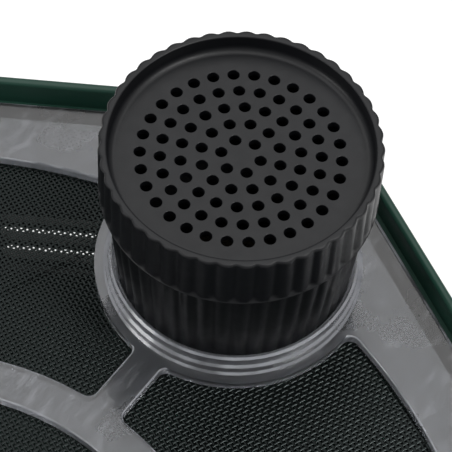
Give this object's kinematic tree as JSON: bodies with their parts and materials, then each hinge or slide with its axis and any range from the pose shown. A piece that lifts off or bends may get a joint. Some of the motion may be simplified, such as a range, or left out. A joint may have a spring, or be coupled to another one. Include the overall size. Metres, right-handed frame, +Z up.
{
  "type": "wasp trap",
  "caption": "Hexagonal wasp trap: a tub with a hinged see-through lid over woven mesh, a perforated bait jar, entrance cones with selector discs and escape grilles.",
  "frame": {"origin": "on the ground under the middle of the box round the trap", "axes": "+X towards the jar's corner, +Y towards the lid's hinge, +Z up"},
  "size_m": [0.3156, 0.3028, 0.1412],
  "materials": {
    "green_plastic": "satin moulded polypropylene",
    "clear_plastic": "clear, lightly scuffed",
    "black_plastic": "satin moulded",
    "black_mesh": "plain-woven monofilament",
    "rubber": "matt",
    "steel": "drawn wire",
    "foam": "open-cell foam"
  },
  "bodies": {
    "base": {"tub": "green_plastic", "feet": "rubber", "hinge_pin_left": "steel", "hinge_pin_right": "steel", "entrance_funnel_1": "black_plastic", "funnel_nut_1": "black_plastic", "disc_pin_1": "black_plastic", "escape_grille_1": "black_plastic", "entrance_funnel_2": "black_plastic", "funnel_nut_2": "black_plastic", "disc_pin_2": "black_plastic", "escape_grille_2": "black_plastic", "entrance_funnel_3": "black_plastic", "funnel_nut_3": "black_plastic", "disc_pin_3": "black_plastic", "escape_grille_3": "black_plastic"},
    "lid": {"lid_frame": "clear_plastic", "mesh_screen": "black_mesh"},
    "jar": {"bait_jar": "black_plastic", "jar_seal": "rubber", "bait_sponge": "foam"},
    "cap_lift": {"cap_seal": "rubber"},
    "cap": {"jar_cap": "black_plastic"},
    "disc_1": {"selector_disc_1": "black_plastic"},
    "disc_2": {"selector_disc_2": "black_plastic"},
    "disc_3": {"selector_disc_3": "black_plastic"}
  },
  "joints": [
    {"name": "lid_hinge", "type": "hinge", "parent": "base", "child": "lid", "pos_m": [0, 0.14786, 0.0963], "axis": [-1, 0, 0], "range_deg": [0, 110]},
    {"name": "jar_lift", "type": "slide", "parent": "lid", "child": "jar", "axis": [0, 0, 1], "range_m": [0, 0.06]},
    {"name": "cap_rise", "type": "slide", "parent": "jar", "child": "cap_lift", "axis": [0, 0, 1], "range_m": [0, 0.0121]},
    {"name": "cap_turn", "type": "hinge", "parent": "cap_lift", "child": "cap", "pos_m": [0.1167, -0.0038, 0.1306], "axis": [0, 0, 1], "range_deg": [0, 1080]},
    {"name": "disc_1_turn", "type": "hinge", "parent": "base", "child": "disc_1", "pos_m": [0, 0.13327, 0.046], "axis": [0, 0.9982, -0.0595], "continuous": true},
    {"name": "disc_2_turn", "type": "hinge", "parent": "base", "child": "disc_2", "pos_m": [-0.11542, -0.06663, 0.046], "axis": [-0.8645, -0.4991, -0.0595], "continuous": true},
    {"name": "disc_3_turn", "type": "hinge", "parent": "base", "child": "disc_3", "pos_m": [0.11542, -0.06663, 0.046], "axis": [0.8645, -0.4991, -0.0595], "continuous": true}
  ],
  "couplings": [
    {"joint": "cap_rise", "follows": "cap_turn", "m_per_rad": 0.00063662}
  ]
}
